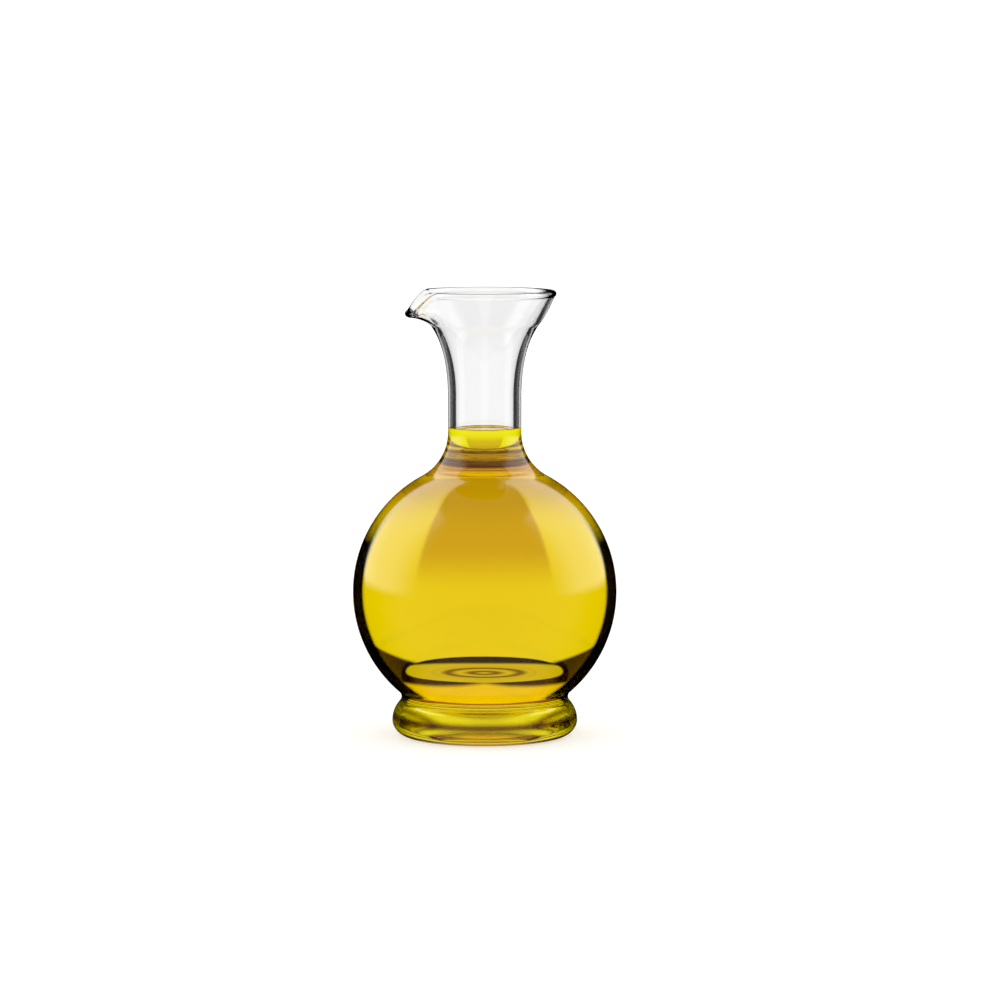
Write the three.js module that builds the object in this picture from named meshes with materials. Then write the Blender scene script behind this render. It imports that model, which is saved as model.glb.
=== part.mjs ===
// Oil carafe: a blown glass ball on a moulded foot, with a slim neck that flares into a pouring rim,
// filled with oil to the middle of the neck. Millimetres, +Z up, standing on Z = 0, spout towards -X.
import * as THREE from "three";

const { degToRad, clamp, smoothstep } = THREE.MathUtils;

// A profile point, as radius and height.
const at = (radius, height) => new THREE.Vector2(radius, height);

// Body: a ball of glass with an even wall
const BALL_RADIUS = 53.5;
const BALL_HEIGHT = 58.7;
const WALL = 3.2;

// Foot: a thick disc with a rounded edge, resting on a flat ring round a shallow push-up
const FOOT_RADIUS = 37.6;
const FOOT_WIDEST = 6.4;
const FLANK_RADIUS = 11;
const REST_RING_INNER = 24.5;
const REST_RING_OUTER = 30.5;
const PUSH_UP = 2.2;
const WAIST_FILLET = 3;

// Cavity floor: it reaches into the foot, flat with a rounded corner and a low dome over the push-up
const FLOOR_HEIGHT = 4.2;
const FLOOR_RADIUS = 28;
const DOME_RADIUS = 20;
const DOME_HEIGHT = 2;

// Neck and flare: the flare bends outwards, then stands up again towards the rim
const NECK_RADIUS = 14.85;
const SHOULDER_FILLET = 20.5;
const FLARE_START = 138;
const FLARE_START_PULL = 16;
const BEND_RADIUS = 22.3;
const BEND_HEIGHT = 167.5;
const BEND_ANGLE = degToRad(38);
const BEND_PULL_BELOW = 6;
const BEND_PULL_ABOVE = 4;
const FLARE_WALL = 2.6;

// Rim: a fire-polished bead round the mouth
const HEIGHT = 181;
const RIM_RADIUS = 29;
const RIM_ANGLE = degToRad(25);
const RIM_PULL = 4;
const BEAD_RADIUS = 1.35;
const BEAD_OUTER_EDGE = degToRad(-60);
const BEAD_INNER_EDGE = degToRad(195);

// Spout: the rim drawn out and down on one side into a channel with a flat bottom.
// Its root and its lip are told by a height that counts the radius too, so that the wall stays thick.
const SPOUT_HALF_ANGLE = degToRad(42);
const CHANNEL_HALF_ANGLE = degToRad(13);
const SPOUT_LEAN = 0.8;
const SPOUT_ROOT = at(22.1, 167);
const SPOUT_EASE = 1.4;
const SPOUT_SWELL = 0.7;
const SPOUT_REACH = 3.2;
const SPOUT_DROP = 8;

// Oil: fills the cavity to the neck, just clear of the glass
const OIL_LEVEL = 125;
const OIL_GAP = 0.3;

// Facets round the axis
const SEGMENTS = 48;

const QUARTER = Math.PI / 2;

// The point at a distance and angle from a centre.
const polar = (centre, distance, angle) =>
  at(centre.x + distance * Math.cos(angle), centre.y + distance * Math.sin(angle));

// The angle at which one point sees another.
const bearing = (from, to) => Math.atan2(to.y - from.y, to.x - from.x);

const arc = (centre, radius, start, end, clockwise = false) =>
  new THREE.EllipseCurve(centre.x, centre.y, radius, radius, start, end, clockwise);

const bezier = (...controls) => new THREE.CubicBezierCurve(...controls);

const line = (start, end) => new THREE.LineCurve(start, end);

// The point at given distances from two centres, on the side away from the axis.
function meeting(a, distanceA, b, distanceB) {
  const between = a.distanceTo(b);
  const along = (distanceA ** 2 - distanceB ** 2 + between ** 2) / (2 * between);
  return polar(a, distanceA, bearing(a, b) + Math.acos(along / distanceA));
}

// Centres of the round stretches. Glass and oil share them, at other radii.
const ballCentre = at(0, BALL_HEIGHT);
const flankCentre = at(FOOT_RADIUS - FLANK_RADIUS, FOOT_WIDEST);
const waistCentre = meeting(
  ballCentre,
  BALL_RADIUS + WAIST_FILLET,
  flankCentre,
  FLANK_RADIUS + WAIST_FILLET,
);
const shoulderReach = NECK_RADIUS + SHOULDER_FILLET;
const shoulderRise = Math.sqrt((BALL_RADIUS + SHOULDER_FILLET) ** 2 - shoulderReach ** 2);
const shoulderCentre = at(shoulderReach, BALL_HEIGHT + shoulderRise);
const beadCentre = at(RIM_RADIUS - BEAD_RADIUS, HEIGHT - BEAD_RADIUS);

// Every run of curves goes upwards or outwards, as pairs of a curve and its number of steps.

// The foot's rounded edge and flank at a depth below the outer surface, from the edge of a level floor.
function edgeCurves(depth, floorEdge) {
  const width = FOOT_RADIUS - depth - floorEdge.x;
  const rise = FOOT_WIDEST - floorEdge.y;
  const flankEnd = bearing(flankCentre, waistCentre);
  return [
    [new THREE.EllipseCurve(floorEdge.x, FOOT_WIDEST, width, rise, -QUARTER, 0), 4],
    [arc(flankCentre, FLANK_RADIUS - depth, 0, flankEnd), 4],
  ];
}

// Push-up, resting ring and the foot's outside.
function footCurves() {
  const ringStart = at(REST_RING_INNER, 0);
  const ringEnd = at(REST_RING_OUTER, 0);
  const domeShoulder = at(REST_RING_INNER / 2, PUSH_UP);
  const domeFoot = at(0.75 * REST_RING_INNER, PUSH_UP / 3);
  return [
    [bezier(at(0, PUSH_UP), domeShoulder, domeFoot, ringStart), 4],
    [line(ringStart, ringEnd), 1],
    ...edgeCurves(0, ringEnd),
  ];
}

// The cavity's dome, floor and hollow foot, with a gap to the glass.
function floorCurves(gap) {
  const floor = FLOOR_HEIGHT + gap;
  const top = floor + DOME_HEIGHT;
  const domeEdge = at(DOME_RADIUS, floor);
  const floorEdge = at(FLOOR_RADIUS, floor);
  const half = DOME_RADIUS / 2;
  return [
    [bezier(at(0, top), at(half, top), at(half, floor), domeEdge), 4],
    [line(domeEdge, floorEdge), 1],
    ...edgeCurves(WALL + gap, floorEdge),
  ];
}

// Waist, ball and shoulder at a depth below the outer surface.
function bodyCurves(depth) {
  const waistStart = bearing(waistCentre, flankCentre);
  const waistEnd = bearing(waistCentre, ballCentre);
  const ballStart = bearing(ballCentre, waistCentre);
  const ballEnd = bearing(ballCentre, shoulderCentre);
  const shoulderStart = bearing(shoulderCentre, ballCentre);
  return [
    [arc(waistCentre, WAIST_FILLET + depth, waistStart, waistEnd, true), 3],
    [arc(ballCentre, BALL_RADIUS - depth, ballStart, ballEnd), 14],
    [arc(shoulderCentre, SHOULDER_FILLET + depth, shoulderStart, Math.PI, true), 6],
  ];
}

// Neck and flare up to a point of the bead, at a depth below the outer surface in each.
function neckCurves(neckDepth, flareDepth, rimEnd) {
  const start = at(NECK_RADIUS - neckDepth, FLARE_START);
  const bend = at(BEND_RADIUS - flareDepth, BEND_HEIGHT);
  const afterStart = polar(start, FLARE_START_PULL, QUARTER);
  const beforeBend = polar(bend, -BEND_PULL_BELOW, QUARTER - BEND_ANGLE);
  const afterBend = polar(bend, BEND_PULL_ABOVE, QUARTER - BEND_ANGLE);
  const beforeRim = polar(rimEnd, -RIM_PULL, QUARTER - RIM_ANGLE);
  return [
    [bezier(start, afterStart, beforeBend, bend), 6],
    [bezier(bend, afterBend, beforeRim, rimEnd), 3],
  ];
}

// The points of a run of curves, where the end of each is the start of the next.
function trace(curves) {
  const points = curves.flatMap(([curve, steps]) => curve.getPoints(steps));
  return points.filter((p, i) => i === 0 || p.distanceTo(points[i - 1]) > 1e-6);
}

// How far up the flare a profile point is, counting its radius too.
const lean = ({ x, y }) => y + SPOUT_LEAN * x;

// A point drawn out and down into the spout: not below its root or beside it, and fully at its lip.
function drawn({ x, y, z }) {
  const radius = Math.hypot(x, y);
  const lipEdge = polar(beadCentre, BEAD_RADIUS, BEAD_OUTER_EDGE);
  const rise = (lean(at(radius, z)) - lean(SPOUT_ROOT)) / (lean(lipEdge) - lean(SPOUT_ROOT));
  const up = clamp(rise, 0, 1) ** SPOUT_EASE;
  const inside = 1 - smoothstep(Math.abs(Math.atan2(y, -x)), CHANNEL_HALF_ANGLE, SPOUT_HALF_ANGLE);
  const stretch = 1 + (SPOUT_REACH * up * inside ** SPOUT_SWELL) / Math.max(radius, BEAD_RADIUS);
  return new THREE.Vector3(x * stretch, y * stretch, z - SPOUT_DROP * up * inside);
}

// A profile turned round +Z, with its rim drawn into the spout.
function turned(profile) {
  const geometry = new THREE.LatheGeometry(profile, SEGMENTS);
  geometry.rotateX(QUARTER);
  const position = geometry.getAttribute("position");
  const vertex = new THREE.Vector3();
  for (let i = 0; i < position.count; i++) {
    vertex.fromBufferAttribute(position, i);
    position.setXYZ(i, ...drawn(vertex));
  }
  return geometry;
}

// The glass runs up its outside, over the bead and down the cavity to the middle of the floor.
function glassProfile() {
  const outerRim = polar(beadCentre, BEAD_RADIUS, BEAD_OUTER_EDGE);
  const innerRim = polar(beadCentre, BEAD_RADIUS, BEAD_INNER_EDGE);
  const outside = trace([
    ...footCurves(),
    ...bodyCurves(0),
    ...neckCurves(0, 0, outerRim),
    [arc(beadCentre, BEAD_RADIUS, BEAD_OUTER_EDGE, BEAD_INNER_EDGE), 7],
  ]);
  const cavity = trace([
    ...floorCurves(0),
    ...bodyCurves(WALL),
    ...neckCurves(WALL, FLARE_WALL, innerRim),
  ]);
  return [...outside, ...cavity.reverse().slice(1)];
}

// The oil follows the cavity at a small gap and ends in a level top.
function oilProfile() {
  const depth = WALL + OIL_GAP;
  return [
    ...trace([...floorCurves(OIL_GAP), ...bodyCurves(depth)]),
    at(NECK_RADIUS - depth, OIL_LEVEL),
    at(0, OIL_LEVEL),
  ];
}

function mesh(name, profile, finish) {
  const made = new THREE.Mesh(turned(profile), new THREE.MeshStandardMaterial(finish));
  made.name = name;
  return made;
}

const carafe = new THREE.Group();
carafe.add(
  mesh("carafe_glass", glassProfile(), {
    color: 0xe9f0ec,
    roughness: 0.03,
    metalness: 0,
    transparent: true,
    opacity: 0.35,
  }),
  mesh("olive_oil", oilProfile(), { color: 0xe6c81a, roughness: 0.08, metalness: 0 }),
);

export default carafe;
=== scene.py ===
"""Oil carafe: the finished look of the blown glass and of the olive oil in it.

Metres, +Z up, the carafe standing on Z = 0 with its spout towards -X.
"""

import logging
import math
from dataclasses import dataclass, field
from enum import Enum, IntEnum
from typing import Any, Callable, Union

import bpy
import numpy as np
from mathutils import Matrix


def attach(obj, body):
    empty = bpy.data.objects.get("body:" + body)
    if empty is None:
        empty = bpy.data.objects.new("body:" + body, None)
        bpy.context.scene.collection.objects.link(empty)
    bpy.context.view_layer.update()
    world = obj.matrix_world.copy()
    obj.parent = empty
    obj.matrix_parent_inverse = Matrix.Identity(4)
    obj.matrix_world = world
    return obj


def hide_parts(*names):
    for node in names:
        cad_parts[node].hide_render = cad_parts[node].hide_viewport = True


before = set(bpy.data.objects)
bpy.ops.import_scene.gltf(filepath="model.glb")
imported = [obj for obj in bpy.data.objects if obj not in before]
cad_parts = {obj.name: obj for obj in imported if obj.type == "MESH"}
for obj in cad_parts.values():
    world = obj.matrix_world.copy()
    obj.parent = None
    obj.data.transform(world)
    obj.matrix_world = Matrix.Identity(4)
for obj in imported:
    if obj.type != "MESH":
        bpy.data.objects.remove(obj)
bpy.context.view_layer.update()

LOG = logging.getLogger("oil_carafe")
MM = 0.001
QUARTER = math.pi / 2
SAME_POINT = 1e-7

Colour = tuple[float, float, float]
Point = tuple[float, float]
Span = tuple[float, float]
Number = Union[float, "Value"]

WHITE: Colour = (1.0, 1.0, 1.0)
BLACK: Colour = (0.0, 0.0, 0.0)


def span(start: float, end: float) -> Span:
    """Two angles in degrees as radians."""
    return math.radians(start), math.radians(end)


class Piece(Enum):
    """The pieces of the carafe, by the CAD node that each one replaces."""

    GLASS = "carafe_glass"
    OIL = "olive_oil"


class Slot(Enum):
    """The record's material slots."""

    GLASS = "clear_glass"
    OIL = "golden_oil"


class GlassFace(IntEnum):
    """The finishes of the glass, in the order of its material slots."""

    OUTSIDE = 0
    BEAD = 1
    DRY = 2
    WETTED = 3
    STIPPLED = 4
    CHILLED = 5


class Ray(Enum):
    """The rays that can be allowed to see a piece of the studio."""

    CAMERA = "visible_camera"
    DIFFUSE = "visible_diffuse"
    GLOSSY = "visible_glossy"
    TRANSMISSION = "visible_transmission"
    SHADOW = "visible_shadow"
    VOLUME = "visible_volume_scatter"


class Value:
    """A number that varies over a surface; arithmetic on it adds Math nodes."""

    def __init__(self, sheet: "NodeSheet", socket: bpy.types.NodeSocket) -> None:
        """Wraps a socket of a node sheet.

        Args:
            sheet: the sheet that new nodes are added to.
            socket: the output that holds the number.
        """
        self.sheet = sheet
        self.socket = socket

    def _math(self, operation: str, *terms: Number) -> "Value":
        """Adds one Math node.

        Args:
            operation: the node's operation.
            terms: its inputs in order.

        Returns:
            The node's result.
        """
        inputs = dict(enumerate(terms))
        return self.sheet.value("ShaderNodeMath", {"operation": operation}, inputs)

    def __add__(self, other: Number) -> "Value":
        """This number plus another."""
        return self._math("ADD", self, other)

    def __radd__(self, other: Number) -> "Value":
        """Another number plus this one."""
        return self._math("ADD", other, self)

    def __sub__(self, other: Number) -> "Value":
        """This number minus another."""
        return self._math("SUBTRACT", self, other)

    def __rsub__(self, other: Number) -> "Value":
        """Another number minus this one."""
        return self._math("SUBTRACT", other, self)

    def __mul__(self, other: Number) -> "Value":
        """This number times another."""
        return self._math("MULTIPLY", self, other)

    def __rmul__(self, other: Number) -> "Value":
        """Another number times this one."""
        return self._math("MULTIPLY", other, self)

    def __truediv__(self, other: Number) -> "Value":
        """This number over another."""
        return self._math("DIVIDE", self, other)

    def __rtruediv__(self, other: Number) -> "Value":
        """Another number over this one."""
        return self._math("DIVIDE", other, self)

    def __pow__(self, other: Number) -> "Value":
        """This number to the power of another."""
        return self._math("POWER", self, other)

    def at_least(self, other: Number) -> "Value":
        """The larger one of this number and another."""
        return self._math("MAXIMUM", self, other)

    def cosine(self) -> "Value":
        """The cosine of this angle."""
        return self._math("COSINE", self)

    def arcsine(self) -> "Value":
        """The angle whose sine this number is."""
        return self._math("ARCSINE", self)

    def folded(self, half: float) -> "Value":
        """This number folded to and fro between 0 and a half period."""
        return self._math("PINGPONG", self, half)

    def bearing(self, other: Number) -> "Value":
        """The angle of the point with this number as its sine and another as its cosine."""
        return self._math("ARCTAN2", self, other)

    def ramp(self, low: Number, high: Number) -> "Value":
        """A smooth step of this number.

        Args:
            low: the number at which the step is 0.
            high: the number at which the step is 1; it may be the lower one.

        Returns:
            The step, from 0 to 1.
        """
        inputs = {"Value": self, "From Min": low, "From Max": high}
        return self.sheet.value("ShaderNodeMapRange", {"interpolation_type": "SMOOTHSTEP"}, inputs)

    def between(self, low: float, high: float, soft: float) -> "Value":
        """A window on this number.

        Args:
            low: the middle of its lower edge.
            high: the middle of its upper edge.
            soft: half the width of each edge.

        Returns:
            The window, 1 inside and 0 outside.
        """
        return self.ramp(low - soft, low + soft) * self.ramp(high + soft, high - soft)


class NodeSheet:
    """A node tree, filled by one method."""

    def __init__(self, tree: bpy.types.NodeTree) -> None:
        """Empties a node tree for use.

        Args:
            tree: the tree of a material or a world.
        """
        self.tree = tree
        self.tree.nodes.clear()

    def node(self, kind: str, settings: dict[str, Any] | None = None,
             inputs: dict[str | int, Any] | None = None) -> bpy.types.Node:
        """Adds a node.

        Args:
            kind: the node's type.
            settings: its settings, which are set first.
            inputs: the values of its inputs, or what is linked to them.

        Returns:
            The node.
        """
        made = self.tree.nodes.new(kind)
        for name, setting in (settings or {}).items():
            setattr(made, name, setting)
        for key, given in (inputs or {}).items():
            if isinstance(given, Value):
                given = given.socket
            if isinstance(given, bpy.types.NodeSocket):
                self.tree.links.new(given, made.inputs[key])
            else:
                made.inputs[key].default_value = given
        return made

    def value(self, kind: str, settings: dict[str, Any] | None = None,
              inputs: dict[str | int, Any] | None = None) -> Value:
        """Adds a node and wraps its first output as a number.

        Args:
            kind: the node's type.
            settings: its settings.
            inputs: its inputs.

        Returns:
            The first output.
        """
        return Value(self, self.node(kind, settings, inputs).outputs[0])

    def place(self) -> bpy.types.NodeSocket:
        """The place on the object, in its own coordinates."""
        return self.node("ShaderNodeTexCoord").outputs["Object"]

    def height(self) -> Value:
        """The height on the object."""
        return Value(self, self.node("ShaderNodeSeparateXYZ", None, {0: self.place()}).outputs[2])

    def noise(self, scale: float) -> Value:
        """A smooth noise over the object.

        Args:
            scale: how many bumps there are in a metre.

        Returns:
            The noise, about 0.5 on average.
        """
        return self.value("ShaderNodeTexNoise", None, {"Vector": self.place(), "Scale": scale})

    def mix(self, share: Number, first: Any, second: Any) -> bpy.types.NodeSocket:
        """A mix of two colours.

        Args:
            share: how much of the second colour there is.
            first: a colour or a socket.
            second: a colour or a socket.

        Returns:
            The mixed colour.
        """
        # A colour mix has its two colours at inputs 6 and 7 and its result at output 2
        colours = [c if isinstance(c, bpy.types.NodeSocket) else (*c, 1.0) for c in (first, second)]
        made = self.node("ShaderNodeMix", {"data_type": "RGBA"}, {0: share, 6: colours[0], 7: colours[1]})
        return made.outputs[2]

    def finish(self, surface: bpy.types.NodeSocket, volume: bpy.types.NodeSocket | None = None,
               kind: str = "ShaderNodeOutputMaterial") -> None:
        """Adds the output node.

        Args:
            surface: the surface's shader.
            volume: the volume's shader.
            kind: the output's type.
        """
        output = self.node(kind, None, {"Surface": surface})
        if volume is not None:
            self.tree.links.new(volume, output.inputs["Volume"])


Paint = Callable[[NodeSheet, Value, Value], bpy.types.NodeSocket]


@dataclass(frozen=True)
class PaintedShadeBand:
    """A band of painted shade round the axis: a dark tint between two heights with soft edges."""

    low: float
    high: float
    tone: Colour
    soft: float = 1.2 * MM


@dataclass(frozen=True)
class ClearFinish:
    """A clear stuff at one of its surfaces: its tint, its unevenness and how it bends light there.

    Where it has an edge colour, that colour is painted shade: the tint turns to it where light enters at a
    slant, between two heights with soft ends and a little all over, so that the glass shows dark edges.
    Its rings of tint between two heights are painted shade as well.
    """

    bends: float
    pale: Colour
    deep: Colour
    wave_scale: float = 60.0
    wave_depth: float = 0.0
    smear: float = 0.0
    edge: Colour | None = None
    edge_shade_gloss: Span = (0.12, 0.16)
    edge_shade_low: float = 7 * MM
    edge_shade_high: float = 90 * MM
    edge_shade_soft: float = 10 * MM
    edge_shade_least: float = 0.15
    painted_shade_bands: tuple[PaintedShadeBand, ...] = ()

    def tint(self, sheet: NodeSheet) -> bpy.types.NodeSocket:
        """Adds the finish's colour to a sheet.

        Args:
            sheet: the sheet that takes the nodes.

        Returns:
            The colour.
        """
        tint = sheet.mix(sheet.noise(self.wave_scale / 2), self.pale, self.deep)
        # The edge colour is painted shade: the tint darkens where the surface is seen at a slant, in place
        # of dark surroundings seen through the glass's edges.
        if self.edge is not None:
            gloss = sheet.value("ShaderNodeFresnel", None, {"IOR": self.bends})
            within = Value(sheet, sheet.node("ShaderNodeNewGeometry").outputs["Backfacing"])
            shown = sheet.height().between(self.edge_shade_low, self.edge_shade_high, self.edge_shade_soft)
            shown = shown.at_least(self.edge_shade_least)
            tint = sheet.mix(gloss.ramp(*self.edge_shade_gloss) * shown * (1 - within), tint, self.edge)
        # Each band is painted shade: a dark ring of tint between two heights.
        for band in self.painted_shade_bands:
            tint = sheet.mix(sheet.height().between(band.low, band.high, band.soft), tint, band.tone)
        return tint

    def surface(self, sheet: NodeSheet) -> bpy.types.NodeSocket:
        """Adds the finish to a sheet.

        Args:
            sheet: the sheet that takes the nodes.

        Returns:
            The surface's shader.
        """
        inputs = {
            "Base Color": self.tint(sheet),
            "Roughness": 0.0,
            "IOR": self.bends,
            "Transmission Weight": 1.0,
        }
        if self.smear:
            inputs["Roughness"] = self.smear * sheet.noise(self.wave_scale)
        if self.wave_depth:
            bump = {"Height": sheet.noise(self.wave_scale), "Distance": self.wave_depth, "Strength": 1.0}
            inputs["Normal"] = sheet.node("ShaderNodeBump", None, bump).outputs[0]
        return sheet.node("ShaderNodeBsdfPrincipled", None, inputs).outputs[0]

    def material(self, name: str) -> bpy.types.Material:
        """The finish as a material of its own.

        Args:
            name: the material's name.

        Returns:
            The material.
        """
        made = bpy.data.materials.new(name)
        made.use_nodes = True
        sheet = NodeSheet(made.node_tree)
        sheet.finish(self.surface(sheet))
        return made


@dataclass(frozen=True)
class OilFinish:
    """Clear oil, with a free top in air and sides that touch the glass."""

    top: ClearFinish
    sides: ClearFinish
    keeps: Colour
    density: float
    top_starts: Span = (-0.2 * MM, -0.1 * MM)

    def material(self, name: str, level: float) -> bpy.types.Material:
        """The oil as a material.

        Args:
            name: the material's name.
            level: the height of its free top.

        Returns:
            The material.
        """
        made = bpy.data.materials.new(name)
        made.use_nodes = True
        sheet = NodeSheet(made.node_tree)
        free = (sheet.height() - level).ramp(*self.top_starts)
        inputs = {0: free, 1: self.sides.surface(sheet), 2: self.top.surface(sheet)}
        surface = sheet.node("ShaderNodeMixShader", None, inputs)
        soaked = {"Color": (*self.keeps, 1.0), "Density": self.density}
        volume = sheet.node("ShaderNodeVolumeAbsorption", None, soaked)
        sheet.finish(surface.outputs[0], volume.outputs[0])
        return made


@dataclass(frozen=True)
class FloorFinish:
    """A plain pale floor with a faint unevenness."""

    pale: Colour = (0.48, 0.48, 0.48)
    deep: Colour = (0.46, 0.46, 0.46)
    roughness: float = 0.9
    scale: float = 3.0
    glow: float = 0.5

    def material(self) -> bpy.types.Material:
        """The floor's material.

        Returns:
            The material.
        """
        made = bpy.data.materials.new("pale_floor")
        made.use_nodes = True
        sheet = NodeSheet(made.node_tree)
        tone = sheet.mix(sheet.noise(self.scale), self.pale, self.deep)
        inputs = {
            "Base Color": tone,
            "Roughness": self.roughness,
            "Specular IOR Level": 0.0,
            "Emission Color": (*WHITE, 1.0),
            "Emission Strength": self.glow,
        }
        sheet.finish(sheet.node("ShaderNodeBsdfPrincipled", None, inputs).outputs[0])
        return made


GLASS_BENDS = 1.51
OIL_BENDS = 1.467
GLASS_PALE = (0.998, 1.0, 0.998)
GLASS_DEEP = (0.99, 0.995, 0.99)
OIL_PALE = (1.0, 0.99, 0.8)
OIL_DEEP = (1.0, 0.98, 0.75)
# Painted shade: the near-black tint that the glass turns to at its slanting edges.
GLASS_PAINTED_EDGE_SHADE = (0.00015, 0.00007, 0.00007)
GLASS_WAVES = 0.02 * MM
# Painted shade: a dark brown ring in the oiled foot, between 6 and 9 mm up.
FOOT_PAINTED_SHADE = PaintedShadeBand(6 * MM, 9 * MM, (0.07, 0.02, 0.015))
# Painted shade: a dark brown ring where the shoulder meets the neck.
NECK_PAINTED_SHADE = PaintedShadeBand(109.5 * MM, 113 * MM, (0.055, 0.028, 0.012))

# The outside and the bead carry the painted edge shade; on the bead it shows at every height.
OUTER_GLASS = ClearFinish(GLASS_BENDS, GLASS_PALE, GLASS_DEEP, wave_depth=GLASS_WAVES, edge=GLASS_PAINTED_EDGE_SHADE)
BEAD_GLASS = ClearFinish(GLASS_BENDS, GLASS_PALE, GLASS_DEEP, edge=GLASS_PAINTED_EDGE_SHADE, edge_shade_gloss=(0.06, 0.13),
                         edge_shade_least=1.0)
DRY_GLASS = ClearFinish(GLASS_BENDS, GLASS_PALE, GLASS_DEEP, wave_depth=GLASS_WAVES)
# The glass against the oil carries the two rings of painted shade, at the foot and at the base of the
# neck.
WETTED_GLASS = ClearFinish(GLASS_BENDS / OIL_BENDS, GLASS_PALE, GLASS_DEEP, painted_shade_bands=(FOOT_PAINTED_SHADE, NECK_PAINTED_SHADE))
CHILLED_GLASS = ClearFinish(GLASS_BENDS, GLASS_PALE, GLASS_DEEP, wave_scale=250.0, smear=0.18)
STIPPLED_GLASS = ClearFinish(GLASS_BENDS, GLASS_PALE, GLASS_DEEP, wave_scale=900.0, smear=1.6)
GLASS_FINISHES: dict[GlassFace, tuple[str, ClearFinish]] = {
    GlassFace.OUTSIDE: ("clear_blown_glass", OUTER_GLASS),
    GlassFace.BEAD: ("fire_polished_bead", BEAD_GLASS),
    GlassFace.DRY: ("dry_cavity_glass", DRY_GLASS),
    GlassFace.WETTED: ("glass_against_oil", WETTED_GLASS),
    GlassFace.STIPPLED: ("stippled_glass", STIPPLED_GLASS),
    GlassFace.CHILLED: ("chilled_push_up", CHILLED_GLASS),
}
GOLDEN_OIL = OilFinish(
    top=ClearFinish(OIL_BENDS, OIL_PALE, OIL_DEEP),
    sides=ClearFinish(1.0, OIL_PALE, OIL_DEEP),
    keeps=(0.999, 0.99475, 0.0),
    density=800.0,
)


def polar(centre: Point, distance: float, angle: float) -> Point:
    """The point at a distance and angle from a centre.

    Args:
        centre: radius and height of the centre.
        distance: how far the point is.
        angle: its direction, from the outward one towards up.

    Returns:
        Radius and height of the point.
    """
    return centre[0] + distance * math.cos(angle), centre[1] + distance * math.sin(angle)


def bearing(start: Point, end: Point) -> float:
    """The angle at which one profile point sees another.

    Args:
        start: the point that looks.
        end: the point that is seen.

    Returns:
        The angle, from the outward direction towards up.
    """
    return math.atan2(end[1] - start[1], end[0] - start[0])


def arc(centre: Point, radii: Point, start: float, end: float, count: int,
        clockwise: bool = False) -> np.ndarray:
    """An arc of an ellipse: centre + radii * (cos a, sin a) as a goes from start to end.

    Args:
        centre: the ellipse's centre.
        radii: its half-widths along radius and height.
        start: the first angle.
        end: the last angle.
        count: how many points there are.
        clockwise: whether the angle falls.

    Returns:
        The points as rows of radius and height.
    """
    turn = (start - end) % math.tau if clockwise else (end - start) % math.tau
    angles = start + np.linspace(0, -turn if clockwise else turn, count)
    return np.array(centre) + np.array(radii) * np.stack([np.cos(angles), np.sin(angles)], axis=1)


def circle(centre: Point, radius: float, start: float, end: float, count: int,
           clockwise: bool = False) -> np.ndarray:
    """An arc of a circle: centre + radius * (cos a, sin a) as a goes from start to end.

    Args:
        centre: the circle's centre.
        radius: its radius.
        start: the first angle.
        end: the last angle.
        count: how many points there are.
        clockwise: whether the angle falls.

    Returns:
        The points as rows of radius and height.
    """
    return arc(centre, (radius, radius), start, end, count, clockwise)


def bezier(points: list[Point], count: int) -> np.ndarray:
    """A cubic curve: the four points weighed by (1-t)^3, 3t(1-t)^2, 3t^2(1-t) and t^3.

    Args:
        points: the four control points.
        count: how many points the curve has.

    Returns:
        The points as rows of radius and height.
    """
    t = np.linspace(0, 1, count)[:, None]
    a, b, c, d = np.array(points)
    return a * (1 - t) ** 3 + 3 * b * t * (1 - t) ** 2 + 3 * c * t**2 * (1 - t) + d * t**3


def line(start: Point, end: Point, count: int) -> np.ndarray:
    """A straight run of points: start + t * (end - start).

    Args:
        start: the first point.
        end: the last point.
        count: how many points there are.

    Returns:
        The points as rows of radius and height.
    """
    return np.linspace(start, end, count)


def joined(*runs: np.ndarray) -> np.ndarray:
    """Runs of points put end to end, without the points that come twice.

    Args:
        runs: the runs in order.

    Returns:
        The whole profile.
    """
    points = np.concatenate(runs)
    steps = np.linalg.norm(np.diff(points, axis=0), axis=1)
    return points[np.concatenate([[True], steps > SAME_POINT])]


def smoothstep(values: np.ndarray, low: float, high: float) -> np.ndarray:
    """A smooth step: t * t * (3 - 2t), where t is the share of the way from low to high.

    Args:
        values: the numbers.
        low: where the step is 0.
        high: where the step is 1.

    Returns:
        The steps.
    """
    t = np.clip((values - low) / (high - low), 0, 1)
    return t * t * (3 - 2 * t)


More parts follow.
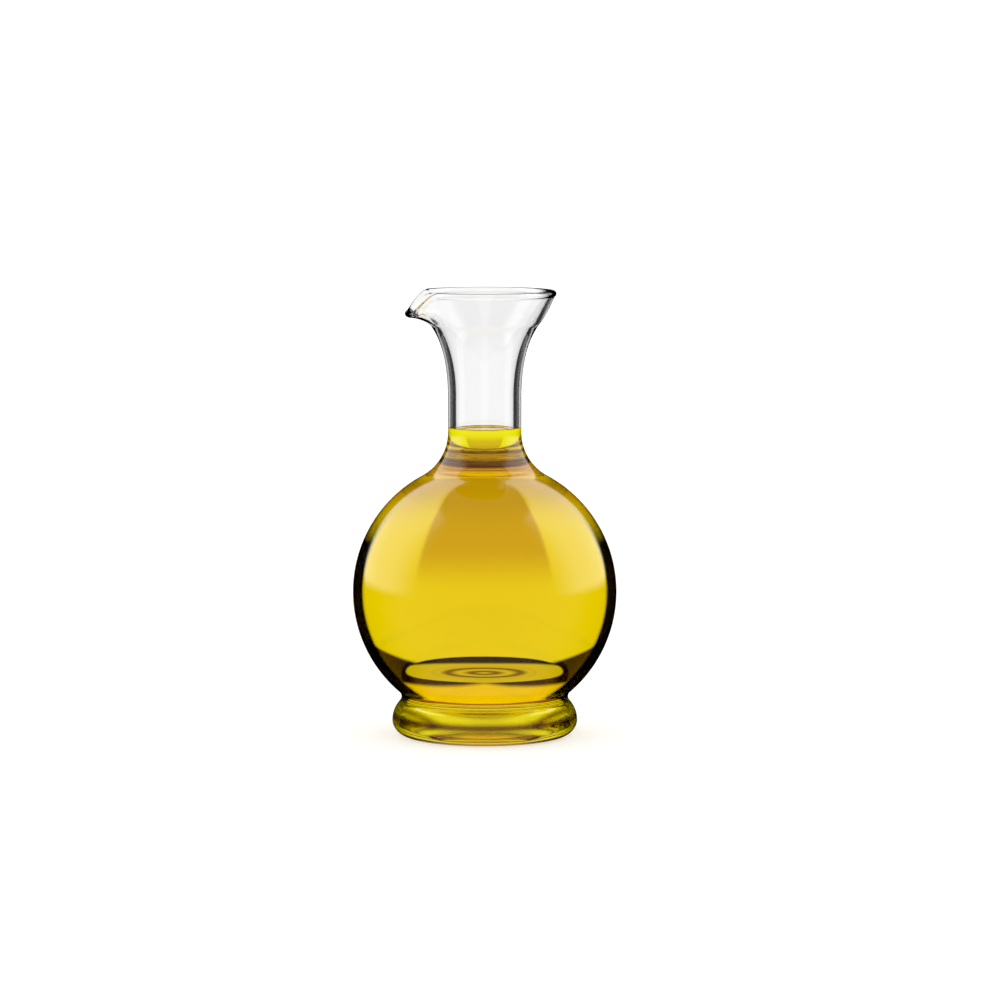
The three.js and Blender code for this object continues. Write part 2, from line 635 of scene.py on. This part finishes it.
def lathe(name: str, profile: np.ndarray, segments: int,
          warp: Callable[[np.ndarray], np.ndarray] = np.asarray) -> bpy.types.Object:
    """A profile turned round +Z: (r cos a, r sin a, z), with a fan at each pole.

    Args:
        name: the piece's name.
        profile: rows of radius and height, from pole to pole.
        segments: how many steps there are round the axis.
        warp: moves the turned points.

    Returns:
        The piece, smooth shaded, at the origin.
    """
    turn = np.arange(segments) * math.tau / segments
    radius, height = profile[1:-1].T
    ring = np.stack([np.outer(radius, np.cos(turn)), np.outer(radius, np.sin(turn)),
                     np.repeat(height[:, None], segments, axis=1)], axis=-1)
    poles = np.array([[0, 0, profile[0, 1]], [0, 0, profile[-1, 1]]])
    vertices = warp(np.concatenate([ring.reshape(-1, 3), poles]))

    index = np.arange(ring.shape[0] * segments).reshape(-1, segments)
    after = np.roll(index, -1, axis=1)
    quads = np.stack([index[:-1], after[:-1], after[1:], index[1:]], axis=-1).reshape(-1, 4)
    first, last = np.full(segments, len(vertices) - 2), np.full(segments, len(vertices) - 1)
    fans = np.concatenate([np.stack([first, after[0], index[0]], axis=-1),
                           np.stack([index[-1], after[-1], last], axis=-1)])
    mesh = bpy.data.meshes.new(name)
    mesh.from_pydata(vertices.tolist(), [], quads.tolist() + fans.tolist())
    mesh.polygons.foreach_set("use_smooth", np.ones(len(mesh.polygons), dtype=bool))
    mesh.update()
    piece = bpy.data.objects.new(name, mesh)
    bpy.context.scene.collection.objects.link(piece)
    return piece


@dataclass
class CarafeForm:
    """The carafe's driving sizes, and the curves that the glass and the oil share."""

    ball_radius: float = 53.5 * MM
    ball_height: float = 58.7 * MM
    wall: float = 3.2 * MM
    foot_radius: float = 37.6 * MM
    foot_widest: float = 6.4 * MM
    flank_radius: float = 11 * MM
    rest_ring_inner: float = 24.5 * MM
    rest_ring_outer: float = 30.5 * MM
    push_up: float = 2.2 * MM
    waist_fillet: float = 3 * MM
    floor_height: float = 4.2 * MM
    floor_radius: float = 28 * MM
    dome_radius: float = 20 * MM
    dome_height: float = 2 * MM
    neck_radius: float = 14.85 * MM
    shoulder_fillet: float = 20.5 * MM
    flare_start: float = 138 * MM
    flare_start_pull: float = 16 * MM
    bend_radius: float = 22.3 * MM
    bend_height: float = 167.5 * MM
    bend_angle: float = math.radians(38)
    bend_pull_below: float = 6 * MM
    bend_pull_above: float = 4 * MM
    flare_wall: float = 2.6 * MM
    height: float = 181 * MM
    rim_radius: float = 29 * MM
    rim_angle: float = math.radians(25)
    rim_pull: float = 4 * MM
    bead_radius: float = 1.35 * MM
    bead_outer_edge: float = math.radians(-60)
    bead_inner_edge: float = math.radians(195)
    spout_half_angle: float = math.radians(42)
    channel_half_angle: float = math.radians(13)
    spout_lean: float = 0.8
    spout_root: Point = (22.1 * MM, 167 * MM)
    spout_ease: float = 1.4
    spout_swell: float = 0.7
    spout_reach: float = 3.2 * MM
    spout_drop: float = 8 * MM
    oil_level: float = 125 * MM
    segments: int = 176
    dome_points: int = 24
    ring_points: int = 6
    edge_points: int = 20
    waist_points: int = 14
    ball_points: int = 80
    shoulder_points: int = 32
    neck_points: int = 24
    flare_points: int = 36
    rim_points: int = 20
    bead_points: int = 24
    ball: Point = field(init=False)
    flank: Point = field(init=False)
    waist: Point = field(init=False)
    shoulder: Point = field(init=False)
    bead: Point = field(init=False)

    def __post_init__(self) -> None:
        """Works out the centres of the round stretches from the driving sizes."""
        self.ball = (0.0, self.ball_height)
        self.flank = (self.foot_radius - self.flank_radius, self.foot_widest)
        to_ball = self.ball_radius + self.waist_fillet
        to_flank = self.flank_radius + self.waist_fillet
        between = math.dist(self.ball, self.flank)
        along = (to_ball**2 - to_flank**2 + between**2) / (2 * between)
        opening = math.acos(along / to_ball)
        self.waist = polar(self.ball, to_ball, bearing(self.ball, self.flank) + opening)
        reach = self.neck_radius + self.shoulder_fillet
        rise = math.sqrt((self.ball_radius + self.shoulder_fillet) ** 2 - reach**2)
        self.shoulder = (reach, self.ball_height + rise)
        self.bead = (self.rim_radius - self.bead_radius, self.height - self.bead_radius)

    def edge(self, depth: float, floor_edge: Point) -> np.ndarray:
        """The foot's rounded edge and flank, from the edge of a level floor upwards.

        Args:
            depth: how far they lie below the outer surface.
            floor_edge: where the level floor ends.

        Returns:
            The points as rows of radius and height.
        """
        radii = (self.foot_radius - depth - floor_edge[0], self.foot_widest - floor_edge[1])
        flank_end = bearing(self.flank, self.waist)
        return joined(
            arc((floor_edge[0], self.foot_widest), radii, -QUARTER, 0, self.edge_points),
            circle(self.flank, self.flank_radius - depth, 0, flank_end, self.edge_points),
        )

    def foot(self) -> np.ndarray:
        """Push-up, resting ring and the foot's outside, from the axis outwards.

        Returns:
            The points as rows of radius and height.
        """
        start, end = (self.rest_ring_inner, 0.0), (self.rest_ring_outer, 0.0)
        dome_shoulder = (self.rest_ring_inner / 2, self.push_up)
        dome_foot = (0.75 * self.rest_ring_inner, self.push_up / 3)
        return joined(
            bezier([(0.0, self.push_up), dome_shoulder, dome_foot, start], self.dome_points),
            line(start, end, self.ring_points),
            self.edge(0, end),
        )

    def floor(self, gap: float) -> np.ndarray:
        """The cavity's dome, floor and hollow foot, from the axis outwards.

        Args:
            gap: how far they keep off the glass.

        Returns:
            The points as rows of radius and height.
        """
        low = self.floor_height + gap
        top = low + self.dome_height
        half = self.dome_radius / 2
        dome_edge, floor_edge = (self.dome_radius, low), (self.floor_radius, low)
        return joined(
            bezier([(0.0, top), (half, top), (half, low), dome_edge], self.dome_points),
            line(dome_edge, floor_edge, self.ring_points),
            self.edge(self.wall + gap, floor_edge),
        )

    def body(self, depth: float) -> np.ndarray:
        """Waist, ball and shoulder, from below upwards.

        Args:
            depth: how far they lie below the outer surface.

        Returns:
            The points as rows of radius and height.
        """
        waist, waist_end = bearing(self.waist, self.flank), bearing(self.waist, self.ball)
        ball, ball_end = bearing(self.ball, self.waist), bearing(self.ball, self.shoulder)
        shoulder, shoulder_end = bearing(self.shoulder, self.ball), math.pi
        return joined(
            circle(self.waist, self.waist_fillet + depth, waist, waist_end, self.waist_points, True),
            circle(self.ball, self.ball_radius - depth, ball, ball_end, self.ball_points),
            circle(self.shoulder, self.shoulder_fillet + depth, shoulder, shoulder_end,
                   self.shoulder_points, True),
        )

    def neck(self, neck_depth: float, flare_depth: float, rim_end: Point) -> np.ndarray:
        """Neck and flare, from the shoulder up to a point of the bead.

        Args:
            neck_depth: how far the neck lies below the outer surface.
            flare_depth: how far the flare lies below the outer surface.
            rim_end: the point of the bead.

        Returns:
            The points as rows of radius and height.
        """
        neck_radius = self.neck_radius - neck_depth
        start = (neck_radius, self.flare_start)
        bend = (self.bend_radius - flare_depth, self.bend_height)
        rises = QUARTER - self.bend_angle
        lower = [start, polar(start, self.flare_start_pull, QUARTER),
                 polar(bend, -self.bend_pull_below, rises), bend]
        upper = [bend, polar(bend, self.bend_pull_above, rises),
                 polar(rim_end, -self.rim_pull, QUARTER - self.rim_angle), rim_end]
        return joined(
            line((neck_radius, self.shoulder[1]), start, self.neck_points),
            bezier(lower, self.flare_points),
            bezier(upper, self.rim_points),
        )

    def lean(self, radius: np.ndarray, height: np.ndarray) -> np.ndarray:
        """How far up the flare points are, as height + lean * radius."""
        return height + self.spout_lean * radius

    def draw_spout(self, vertices: np.ndarray) -> np.ndarray:
        """The rim drawn out and down into a spout with a flat channel.

        A point's way up is a power of the share from the spout's root to its lip. Its way in is a smooth
        step of its angle from -X, 1 in the channel and 0 beside the spout. Its height falls by the
        product, and its radius grows by the product with a power of the way in.

        Args:
            vertices: rows of X, Y and Z.

        Returns:
            The moved rows.
        """
        x, y, z = vertices.T
        radius = np.hypot(x, y)
        root = self.lean(*self.spout_root)
        lip = self.lean(*polar(self.bead, self.bead_radius, self.bead_outer_edge))
        up = np.clip((self.lean(radius, z) - root) / (lip - root), 0, 1) ** self.spout_ease
        angle = np.abs(np.arctan2(y, -x))
        inside = 1 - smoothstep(angle, self.channel_half_angle, self.spout_half_angle)
        reach = self.spout_reach * up * inside**self.spout_swell
        stretch = 1 + reach / np.maximum(radius, self.bead_radius)
        return np.stack([x * stretch, y * stretch, z - self.spout_drop * up * inside], axis=1)


@dataclass
class BlownGlass:
    """The glass: outside, bead and cavity in one closed wall."""

    form: CarafeForm
    wetted_above_level: float = 0.6 * MM

    def build(self) -> bpy.types.Object:
        """Makes the wall.

        Returns:
            The piece.
        """
        form = self.form
        outer_rim = polar(form.bead, form.bead_radius, form.bead_outer_edge)
        inner_rim = polar(form.bead, form.bead_radius, form.bead_inner_edge)
        below_bead = joined(form.foot(), form.body(0), form.neck(0, 0, outer_rim))
        bead = circle(form.bead, form.bead_radius, form.bead_outer_edge, form.bead_inner_edge,
                      form.bead_points)
        outside = joined(below_bead, bead)
        cavity = joined(
            form.floor(0),
            form.body(form.wall),
            form.neck(form.wall, form.flare_wall, inner_rim),
        )
        profile = joined(outside, cavity[::-1])
        piece = lathe(Piece.GLASS.value + "_wall", profile, form.segments, form.draw_spout)
        kinds = self.face_kinds(profile, len(below_bead) - 1, len(outside) - 1)
        # The rings of quads come first in the mesh, then the fans at the first and the last pole
        rings = np.concatenate([kinds[1:-1], kinds[[0, -1]]])
        piece.data.polygons.foreach_set("material_index", np.repeat(rings, form.segments).astype(np.int32))
        return piece

    def face_kinds(self, profile: np.ndarray, bead_start: int, cavity_start: int) -> np.ndarray:
        """Chooses the finish of each step of the profile.

        Args:
            profile: the wall's profile, as rows of radius and height.
            bead_start: the step at which the bead starts.
            cavity_start: the step at which the cavity starts.

        Returns:
            The steps' kinds of face.
        """
        form = self.form
        radius, height = np.maximum(profile[1:], profile[:-1]).T
        step = np.arange(len(height))
        inside = step >= cavity_start
        under = ~inside & (height <= form.push_up) & (radius <= form.rest_ring_outer)
        chosen = {
            GlassFace.WETTED: inside & (height < form.oil_level + self.wetted_above_level),
            GlassFace.STIPPLED: under & (radius > form.rest_ring_inner),
            GlassFace.CHILLED: under,
            GlassFace.DRY: inside,
            GlassFace.BEAD: step >= bead_start,
        }
        return np.select(list(chosen.values()), [int(face) for face in chosen], int(GlassFace.OUTSIDE))

    def dress(self, piece: bpy.types.Object) -> None:
        """Gives the wall its finishes and its place in the frame.

        Args:
            piece: the wall.
        """
        for face in GlassFace:
            name, finish = GLASS_FINISHES[face]
            piece.data.materials.append(finish.material(name))
        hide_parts(Piece.GLASS.value)
        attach(piece, "root")


@dataclass
class OilFill:
    """The oil: it reaches just into the wall and climbs a little where it meets the neck."""

    form: CarafeForm
    into_wall: float = 0.2 * MM
    climb: float = 0.6 * MM
    climb_width: float = 0.8 * MM
    top_points: int = 60
    wall_points: int = 4

    def build(self) -> bpy.types.Object:
        """Makes the oil.

        Its top is level + climb * exp(-distance from the wall / climb width), with points that lie
        closer together towards the wall.

        Returns:
            The piece.
        """
        form = self.form
        depth = form.wall - self.into_wall
        edge = form.neck_radius - depth
        across = edge * (1 - np.linspace(0, 1, self.top_points) ** 2)
        top = form.oil_level + self.climb * np.exp((across - edge) / self.climb_width)
        neck = line((edge, form.shoulder[1]), (edge, top[0]), self.wall_points)
        sides = joined(form.floor(-self.into_wall), form.body(depth), neck)
        profile = joined(sides, np.stack([across, top], axis=1))
        return lathe(Piece.OIL.value + "_fill", profile, form.segments)

    def dress(self, piece: bpy.types.Object) -> None:
        """Gives the oil its finishes and its place in the frame.

        Args:
            piece: the oil.
        """
        piece.data.materials.append(GOLDEN_OIL.material("golden_oil", self.form.oil_level))
        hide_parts(Piece.OIL.value)
        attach(piece, "root")


@dataclass
class Camera:
    """The camera: a long lens, a little above the carafe and turned a little towards its spout."""

    distance: float = 1.8
    height: float = 0.277
    turn: float = math.radians(-7)
    aim_right: float = 6.2 * MM
    aim_height: float = 96.0 * MM
    sensor: float = 36.0
    lens: float = 160.7
    sees_to: float = 50.0

    def build(self) -> bpy.types.Object:
        """Places the camera and makes it the scene's own.

        Returns:
            The camera.
        """
        right = np.array([math.cos(self.turn), math.sin(self.turn), 0.0])
        back = np.array([math.sin(self.turn), -math.cos(self.turn), 0.0])
        aim = right * self.aim_right + np.array([0.0, 0.0, self.aim_height])
        place = back * self.distance + right * self.aim_right + np.array([0.0, 0.0, self.height])
        data = bpy.data.cameras.new("camera")
        data.sensor_width = self.sensor
        data.lens = self.lens
        data.clip_end = self.sees_to
        camera = bpy.data.objects.new("camera", data)
        camera.location = place
        drop = math.atan2(place[2] - aim[2], self.distance)
        camera.rotation_euler = (QUARTER - drop, 0.0, self.turn)
        bpy.context.scene.collection.objects.link(camera)
        bpy.context.scene.camera = camera
        return camera


def oval(across: Value, along: Value) -> Value:
    """The distance from an oval's middle, which is 1 at its edge: the root of across^2 + along^2."""
    return (across * across + along * along) ** 0.5


def seen_by(piece: bpy.types.Object, *rays: Ray) -> None:
    """Lets only some rays see a piece of the studio.

    Args:
        piece: the piece.
        rays: the rays that see it.
    """
    for ray in Ray:
        setattr(piece, ray.value, ray in rays)


@dataclass
class Studio:
    """A pale floor, an even white surround, and the screens that show in the glass.

    The screens stand still. What shows through the oil comes once at each quarter turn, so that every
    side of the carafe has the like behind it. Pairs of angles are where a soft edge starts and ends.
    """

    floor_half: float = 20.0
    surround: float = 1.5
    heading: float = math.radians(7)
    screen_radius: float = 8.0
    screen_segments: int = 64
    backdrop_white: float = 0.93
    backdrop_rise: Span = span(16.8, 18.8)
    gap_tone: Colour = (0.006, 0.002, 0.002)
    shade_first: Colour = (0.71, 0.56, 0.63)
    shade_last: Colour = (0.58, 0.43, 0.5)
    shade_half: float = math.radians(21.5)
    shade_narrowing: float = 0.12
    shade_edge: Span = span(1, -1)
    shade_rise: Span = span(-5.5, -19)
    warm_rise: Span = span(-15, -48)
    under_rise: Span = span(-24, -52)
    table_rise: Span = span(-53, -63)
    ceiling_warm: Colour = (1.0, 0.82, 0.85)
    ceiling_rise: Span = span(22, 25)
    ceiling_climb: float = 0.24
    lamp_curve: float = 0.4
    lamp_rise: float = math.radians(17.7)
    lamp_half: float = math.radians(32)
    lamp_height: float = math.radians(5.5)
    lamp_edge: Span = (1.04, 0.96)
    lamp_dark: Span = span(15.4, 14.2)
    ring_rise: float = math.radians(18.6)
    ring_half: float = math.radians(16)
    ring_height: float = math.radians(2.6)
    rings: float = 2.0
    ring_fade: Span = (1.2, 1.0)
    lamp_dim: Colour = (0.2, 0.14, 0.15)
    lamp_bright: Colour = (0.72, 0.68, 0.65)
    oil_crossings: Span = (4.2, 4.8)
    neck_white: float = 1.0
    neck_dark: float = 0.04
    neck_side: Span = span(8, 18)
    wall_crossings: Span = (3.5, 2.5)
    neck_steep: Span = span(22, 40)
    card_light: float = 1.8
    card_front: Span = span(122, 85)
    card_back: float = math.radians(48)
    card_narrowing: float = 0.75
    card_edge: Span = span(-4, 4)
    card_high: float = math.radians(61)
    card_soft: float = math.radians(3)
    front_tone: float = 0.28
    tone_side: Span = span(70, 110)
    tone_rise: Span = span(25, 45)
    foot_front: Span = span(105, 150)
    screen_low: float = 40 * MM
    screen_gap: float = 62 * MM
    screen_wall: float = 1 * MM

    def world(self) -> None:
        """Lights the scene evenly from all round."""
        made = bpy.data.worlds.new("studio")
        made.use_nodes = True
        sheet = NodeSheet(made.node_tree)
        light = {"Color": (*WHITE, 1.0), "Strength": self.surround}
        background = sheet.node("ShaderNodeBackground", None, light)
        sheet.finish(background.outputs[0], kind="ShaderNodeOutputWorld")
        bpy.context.scene.world = made

    def floor(self) -> bpy.types.Object:
        """Makes the floor.

        Returns:
            A level square under the carafe.
        """
        half = self.floor_half
        mesh = bpy.data.meshes.new("floor")
        corners = [(-half, -half, 0.0), (half, -half, 0.0), (half, half, 0.0), (-half, half, 0.0)]
        mesh.from_pydata(corners, [], [(0, 1, 2, 3)])
        mesh.materials.append(FloorFinish().material())
        made = bpy.data.objects.new("floor", mesh)
        bpy.context.scene.collection.objects.link(made)
        seen_by(made, Ray.CAMERA, Ray.DIFFUSE, Ray.SHADOW)
        return made

    def screen(self, name: str, profile: np.ndarray, paint: Paint, ray: Ray) -> bpy.types.Object:
        """Makes a round screen that gives its own light.

        Args:
            name: the screen's name.
            profile: rows of radius and height, from pole to pole.
            paint: what it shows.
            ray: the rays that see it.

        Returns:
            The screen.
        """
        made = lathe(name, profile, self.screen_segments)
        made.data.materials.append(self.glow(name + "_light", paint))
        seen_by(made, ray)
        return made

    def globe(self) -> np.ndarray:
        """The profile of a screen round the whole scene: a half circle about the origin.

        Returns:
            The points as rows of radius and height.
        """
        profile = arc((0.0, 0.0), (self.screen_radius,) * 2, -QUARTER, QUARTER, self.screen_segments)
        profile[[0, -1], 0] = 0.0
        return profile

    def tray(self) -> np.ndarray:
        """The profile of a low wall round the foot, with its bottom under the floor.

        Returns:
            The points as rows of radius and height.
        """
        inner, outer, wall = self.screen_gap, self.screen_gap + self.screen_wall, self.screen_wall
        return np.array([(0.0, -2 * wall), (outer, -2 * wall), (outer, self.screen_low),
                         (inner, self.screen_low), (inner, -wall), (0.0, -wall)])

    def glow(self, name: str, paint: Paint) -> bpy.types.Material:
        """A light that varies with direction.

        Args:
            name: the material's name.
            paint: gives the colour from the angle round the back of the photograph and the angle up.

        Returns:
            The material.
        """
        made = bpy.data.materials.new(name)
        made.use_nodes = True
        made.cycles.emission_sampling = "NONE"
        sheet = NodeSheet(made.node_tree)
        split = sheet.node("ShaderNodeSeparateXYZ", None, {0: sheet.place()})
        x, y, z = (Value(sheet, output) for output in split.outputs)
        colour = paint(sheet, x.bearing(y) - self.heading, (z / self.screen_radius).arcsine())
        emission = sheet.node("ShaderNodeEmission", None, {"Color": colour, "Strength": 1.0})
        sheet.finish(emission.outputs[0])
        return made

    def lamp_light(self, sheet: NodeSheet, aside: Value, level: Value) -> bpy.types.NodeSocket:
        """The round lamp over the backdrop: rings of light over a dark lower edge.

        Args:
            sheet: the sheet that takes the nodes.
            aside: the angle from the lamp's middle.
            level: the angle up, along the lamp's bent edges.

        Returns:
            The colour.
        """
        radius = oval(aside / self.ring_half, (level - self.ring_rise) / self.ring_height)
        rings = 0.5 - 0.5 * (radius * (self.rings * math.tau)).cosine()
        shown = sheet.mix(rings * radius.ramp(*self.ring_fade), self.lamp_bright, self.lamp_dim)
        return sheet.mix(level.ramp(*self.lamp_dark), shown, BLACK)

    def oil_light(self, sheet: NodeSheet, turn: Value, rise: Value) -> bpy.types.NodeSocket:
        """What the rays see that have crossed the oil.

        A white backdrop stands on a floor with a warm shade at each quarter turn, which spreads all round
        further down and ends at a white table. Over the backdrop are a dark gap, with a round lamp at each
        quarter turn, and a warm ceiling.

        Args:
            sheet: the sheet that takes the nodes.
            turn: the angle round from the back.
            rise: the angle up.

        Returns:
            The colour.
        """
        aside = turn.folded(QUARTER / 2)
        shade = (aside - rise * self.shade_narrowing - self.shade_half).ramp(*self.shade_edge)
        shade = (shade * rise.ramp(*self.shade_rise)).at_least(rise.ramp(*self.under_rise))
        shade = shade * (1 - rise.ramp(*self.table_rise))
        warm = sheet.mix(rise.ramp(*self.warm_rise), self.shade_first, self.shade_last)
        shown = sheet.mix(shade, (self.backdrop_white,) * 3, warm)
        shown = sheet.mix(rise.ramp(*self.backdrop_rise), shown, self.gap_tone)
        ceiling = (rise - aside * self.ceiling_climb).ramp(*self.ceiling_rise)
        shown = sheet.mix(ceiling, shown, self.ceiling_warm)
        level = rise - self.lamp_curve * aside * aside
        lamp = oval(aside / self.lamp_half, (level - self.lamp_rise) / self.lamp_height)
        return sheet.mix(lamp.ramp(*self.lamp_edge), shown, self.lamp_light(sheet, aside, level))

    def neck_light(self, sheet: NodeSheet, rise: Value, kept: Value) -> bpy.types.NodeSocket:
        """What the rays see that have crossed glass alone: white all round and below, dark far up.

        Args:
            sheet: the sheet that takes the nodes.
            rise: the angle up.
            kept: 1 for those that a wall has turned back within the glass to a dark side, else 0.

        Returns:
            The colour.
        """
        shown = sheet.mix(kept, (self.neck_white,) * 3, (self.neck_dark,) * 3)
        return sheet.mix(rise.ramp(*self.neck_steep), shown, BLACK)

    def refracted_light(self, sheet: NodeSheet, turn: Value, rise: Value) -> bpy.types.NodeSocket:
        """What all refracted rays see; those on their way from the floor see an even white.

        Args:
            sheet: the sheet that takes the nodes.
            turn: the angle round from the back.
            rise: the angle up.

        Returns:
            The colour.
        """
        path = sheet.node("ShaderNodeLightPath").outputs
        crossed, mirrored, from_floor = (Value(sheet, path[name + " Depth"])
                                         for name in ("Transmission", "Glossy", "Diffuse"))
        kept = mirrored.ramp(0.0, 1.0) * crossed.ramp(*self.wall_crossings)
        kept = kept * turn.folded(QUARTER / 2).ramp(*self.neck_side)
        oiled = crossed.ramp(*self.oil_crossings)
        shown = sheet.mix(oiled, self.neck_light(sheet, rise, kept), self.oil_light(sheet, turn, rise))
        return sheet.mix(from_floor.ramp(0.0, 1.0), shown, (self.surround,) * 3)

    def card_light_at(self, sheet: NodeSheet, turn: Value, rise: Value) -> bpy.types.NodeSocket:
        """What the reflected rays see: a soft card at each side, and a dim front.

        Args:
            sheet: the sheet that takes the nodes.
            turn: the angle round from the back.
            rise: the angle up.

        Returns:
            The colour.
        """
        aside = turn.folded(math.pi)
        behind = self.card_back - self.card_narrowing * rise
        card = aside.ramp(*self.card_front) * (aside - behind).ramp(*self.card_edge)
        card = card * rise.between(0.0, self.card_high, self.card_soft)
        tone = aside.ramp(*self.tone_side).at_least(rise.ramp(*self.tone_rise))
        lit = self.front_tone * tone + self.card_light * card
        return sheet.node("ShaderNodeCombineXYZ", None, {0: lit, 1: lit, 2: lit}).outputs[0]

    def tray_light(self, sheet: NodeSheet, turn: Value, rise: Value) -> bpy.types.NodeSocket:
        """What the rays see that the foot reflects: a dim front and dark sides, whatever their rise.

        Args:
            sheet: the sheet that takes the nodes.
            turn: the angle round from the back.
            rise: the angle up; not used.

        Returns:
            The colour.
        """
        return sheet.mix(turn.folded(math.pi).ramp(*self.foot_front), BLACK, (self.front_tone,) * 3)

    def build(self) -> None:
        """Sets up the whole studio."""
        self.world()
        self.floor()
        self.screen("backdrop_screen", self.globe(), self.refracted_light, Ray.TRANSMISSION)
        self.screen("card_screen", self.globe(), self.card_light_at, Ray.GLOSSY)
        self.screen("foot_screen", self.tray(), self.tray_light, Ray.GLOSSY)


def deepen_light_paths(crossings: int = 32, mirrorings: int = 16) -> None:
    """Lets light cross as many walls of glass as the carafe has, and shows colours as they are.

    Args:
        crossings: how many surfaces a ray may meet or cross.
        mirrorings: how many times a ray may be reflected.
    """
    scene = bpy.context.scene
    scene.cycles.max_bounces = crossings
    scene.cycles.transmission_bounces = crossings
    scene.cycles.glossy_bounces = mirrorings
    scene.view_settings.view_transform = "Standard"


def main() -> None:
    """Builds the carafe and the studio in order."""
    logging.basicConfig(level=logging.INFO)
    form = CarafeForm()
    for part in (BlownGlass(form), OilFill(form)):
        piece = part.build()
        part.dress(piece)
        LOG.info("%s: %d faces", piece.name, len(piece.data.polygons))
    Camera().build()
    Studio().build()
    deepen_light_paths()


if __name__ == "__main__":
    main()
